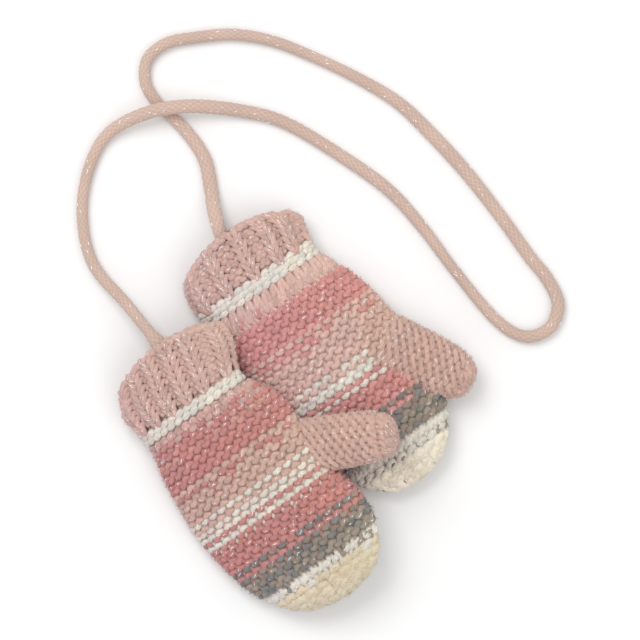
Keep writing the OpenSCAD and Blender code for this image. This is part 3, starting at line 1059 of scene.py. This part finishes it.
striped = yarn_material("striped_knit")
pink_knit = yarn_material("pink_knit")
cream_knit = yarn_material("cream_knit", fibre=0.08)
cord_knit = yarn_material("cord_knit", ply=0.9, depth=0.25, fibre=0.12)
thread = yarn_material("thread", ply=0.7, depth=0.3, fibre=0.1)
fleece = fleece_material("fleece")
silver = silver_material("silver_thread")


def build_mitten(side, plan, stripes, tip_stripes, place, rib, thumb_plan, thumb_l, hinge, turn,
                 gusset=None):
    """The six soft pieces of a mitten: cuff, hand, fingertip and lining ride on its body; the thumb's
    two stay unattached.
    """
    body = side + "_mitten"
    to_world = placed(place)
    to_thumb = placed_thumb(place, hinge, turn)
    skin = Skin(lambda s, a: mitten_rings(plan, hinge[0], s, a), mitten_grid())
    thumb_skin = Skin(lambda s, a: thumb_rings(thumb_plan, thumb_l, s, a), thumb_grid(thumb_l), 120)
    cuff = knit_rib(side + "_cuff_knit", skin, rib, to_world, (pink_knit, silver))
    hand = knit_hand(side + "_hand_knit", skin, stripes, hand_courses(side), to_world,
                     (striped, silver), HAND_LOOSE, HAND, gusset)
    tip = knit_hand(side + "_fingertip_knit", skin, tip_stripes, tip_courses(skin), to_world,
                    (cream_knit,), TIP_LOOSE, TIP)
    thumb = knit_thumb(side + "_thumb_knit", thumb_skin, THUMB_FROM, thumb_l, to_thumb,
                       (pink_knit, silver))
    lining = fleece_bag(side + "_fleece_lining", skin, LINING_FROM, LINING_TO, LINING_INSET,
                        LINING_THICKNESS, to_world, fleece)
    thumb_lining = fleece_bag(side + "_thumb_fleece", thumb_skin, THUMB_LINING_FROM,
                              thumb_l - LINING_INSET, LINING_INSET, THUMB_LINING_THICKNESS,
                              to_thumb, fleece)
    for piece, node, slot in (
        (cuff, "cuff", "pink_knit"), (hand, "hand", "striped_knit"),
        (tip, "fingertip", "cream_knit"), (lining, "lining", "fleece"),
    ):
        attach(piece, body)
        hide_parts(side + "_" + node)
    start, end = to_thumb(np.array([[-THUMB_BEND, 0, 0], [THUMB_BEND, 0, 0]])) * MM
    for piece, node, slot in ((thumb, "thumb", "pink_knit"), (thumb_lining, "thumb_lining", "fleece")):
        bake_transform(piece)
        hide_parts(side + "_" + node)


build_mitten(
    "front", FRONT_PLAN, FRONT_STRIPES, FRONT_TIP_STRIPES, FRONT_PLACE, FRONT_RIB,
    FRONT_THUMB_PLAN, FRONT_THUMB_L, FRONT_HINGE, FRONT_THUMB_TURN,
)
build_mitten(
    "back", BACK_PLAN, BACK_STRIPES, BACK_TIP_STRIPES, BACK_PLACE, BACK_RIB,
    BACK_THUMB_PLAN, BACK_THUMB_L, BACK_HINGE, BACK_THUMB_TURN, BACK_GUSSET,
)

for side, spot in (("back", BACK_STITCH), ("front", FRONT_STITCH)):
    stitches = end_stitches(side + "_cord_thread", spot, thread)
    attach(stitches, side + "_mitten")
    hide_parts(side + "_cord_stitches")

cord, cord_line = knit_cord((cord_knit, silver))
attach(cord, "back_mitten")
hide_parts("neck_cord")


# ---- Stage, in metres ----------------------------------------------------------------------------

FLOOR_HALF = 6.0
SKY_STRENGTH = 0.75
SENSOR = 36
CAMERA_SPOT = (0.0107, 0.0403, 3.0)
# Width seen by the camera at this height above the floor
SEEN_WIDTH = 0.288
SEEN_HEIGHT = 0.008


def area_light(name, spot, size, power):
    """A square light that faces the origin."""
    light = bpy.data.lights.new(name, "AREA")
    light.shape = "SQUARE"
    light.size = size
    light.energy = power
    obj = bpy.data.objects.new(name, light)
    obj.location = spot
    obj.rotation_euler = (-Vector(spot)).to_track_quat("-Z", "Y").to_euler()
    bpy.context.scene.collection.objects.link(obj)


def build_stage():
    """A plain pale floor, an even white sky and two soft lights."""
    mesh = bpy.data.meshes.new("floor")
    e = FLOOR_HALF
    mesh.from_pydata([(-e, -e, 0), (e, -e, 0), (e, e, 0), (-e, e, 0)], [], [(0, 1, 2, 3)])
    floor = bpy.data.objects.new("floor", mesh)
    bpy.context.scene.collection.objects.link(floor)
    material, _, shader = nodes_of("floor_paint")
    set_inputs(shader, {
        "Base Color": (0.86, 0.86, 0.86, 1), "Roughness": 0.9, "Specular IOR Level": 0.1,
    })
    mesh.materials.append(material)
    world = bpy.data.worlds.new("studio")
    world.use_nodes = True
    set_inputs(world.node_tree.nodes["Background"], {"Color": (1, 1, 1, 1), "Strength": SKY_STRENGTH})
    bpy.context.scene.world = world
    area_light("key", (-0.5, 0.7, 1.3), 0.9, 11)
    area_light("fill", (0.8, -0.5, 1.4), 1.2, 5)
    bpy.context.scene.view_settings.view_transform = "Standard"


def build_camera():
    """Straight down, as the mittens are seen lying on a table."""
    camera = bpy.data.cameras.new("photo")
    camera.sensor_width = SENSOR
    camera.lens = SENSOR * (CAMERA_SPOT[2] - SEEN_HEIGHT) / SEEN_WIDTH
    obj = bpy.data.objects.new("photo", camera)
    obj.location = CAMERA_SPOT
    obj.rotation_euler = (0, 0, 0)
    bpy.context.scene.collection.objects.link(obj)
    bpy.context.scene.camera = obj


build_stage()
build_camera()
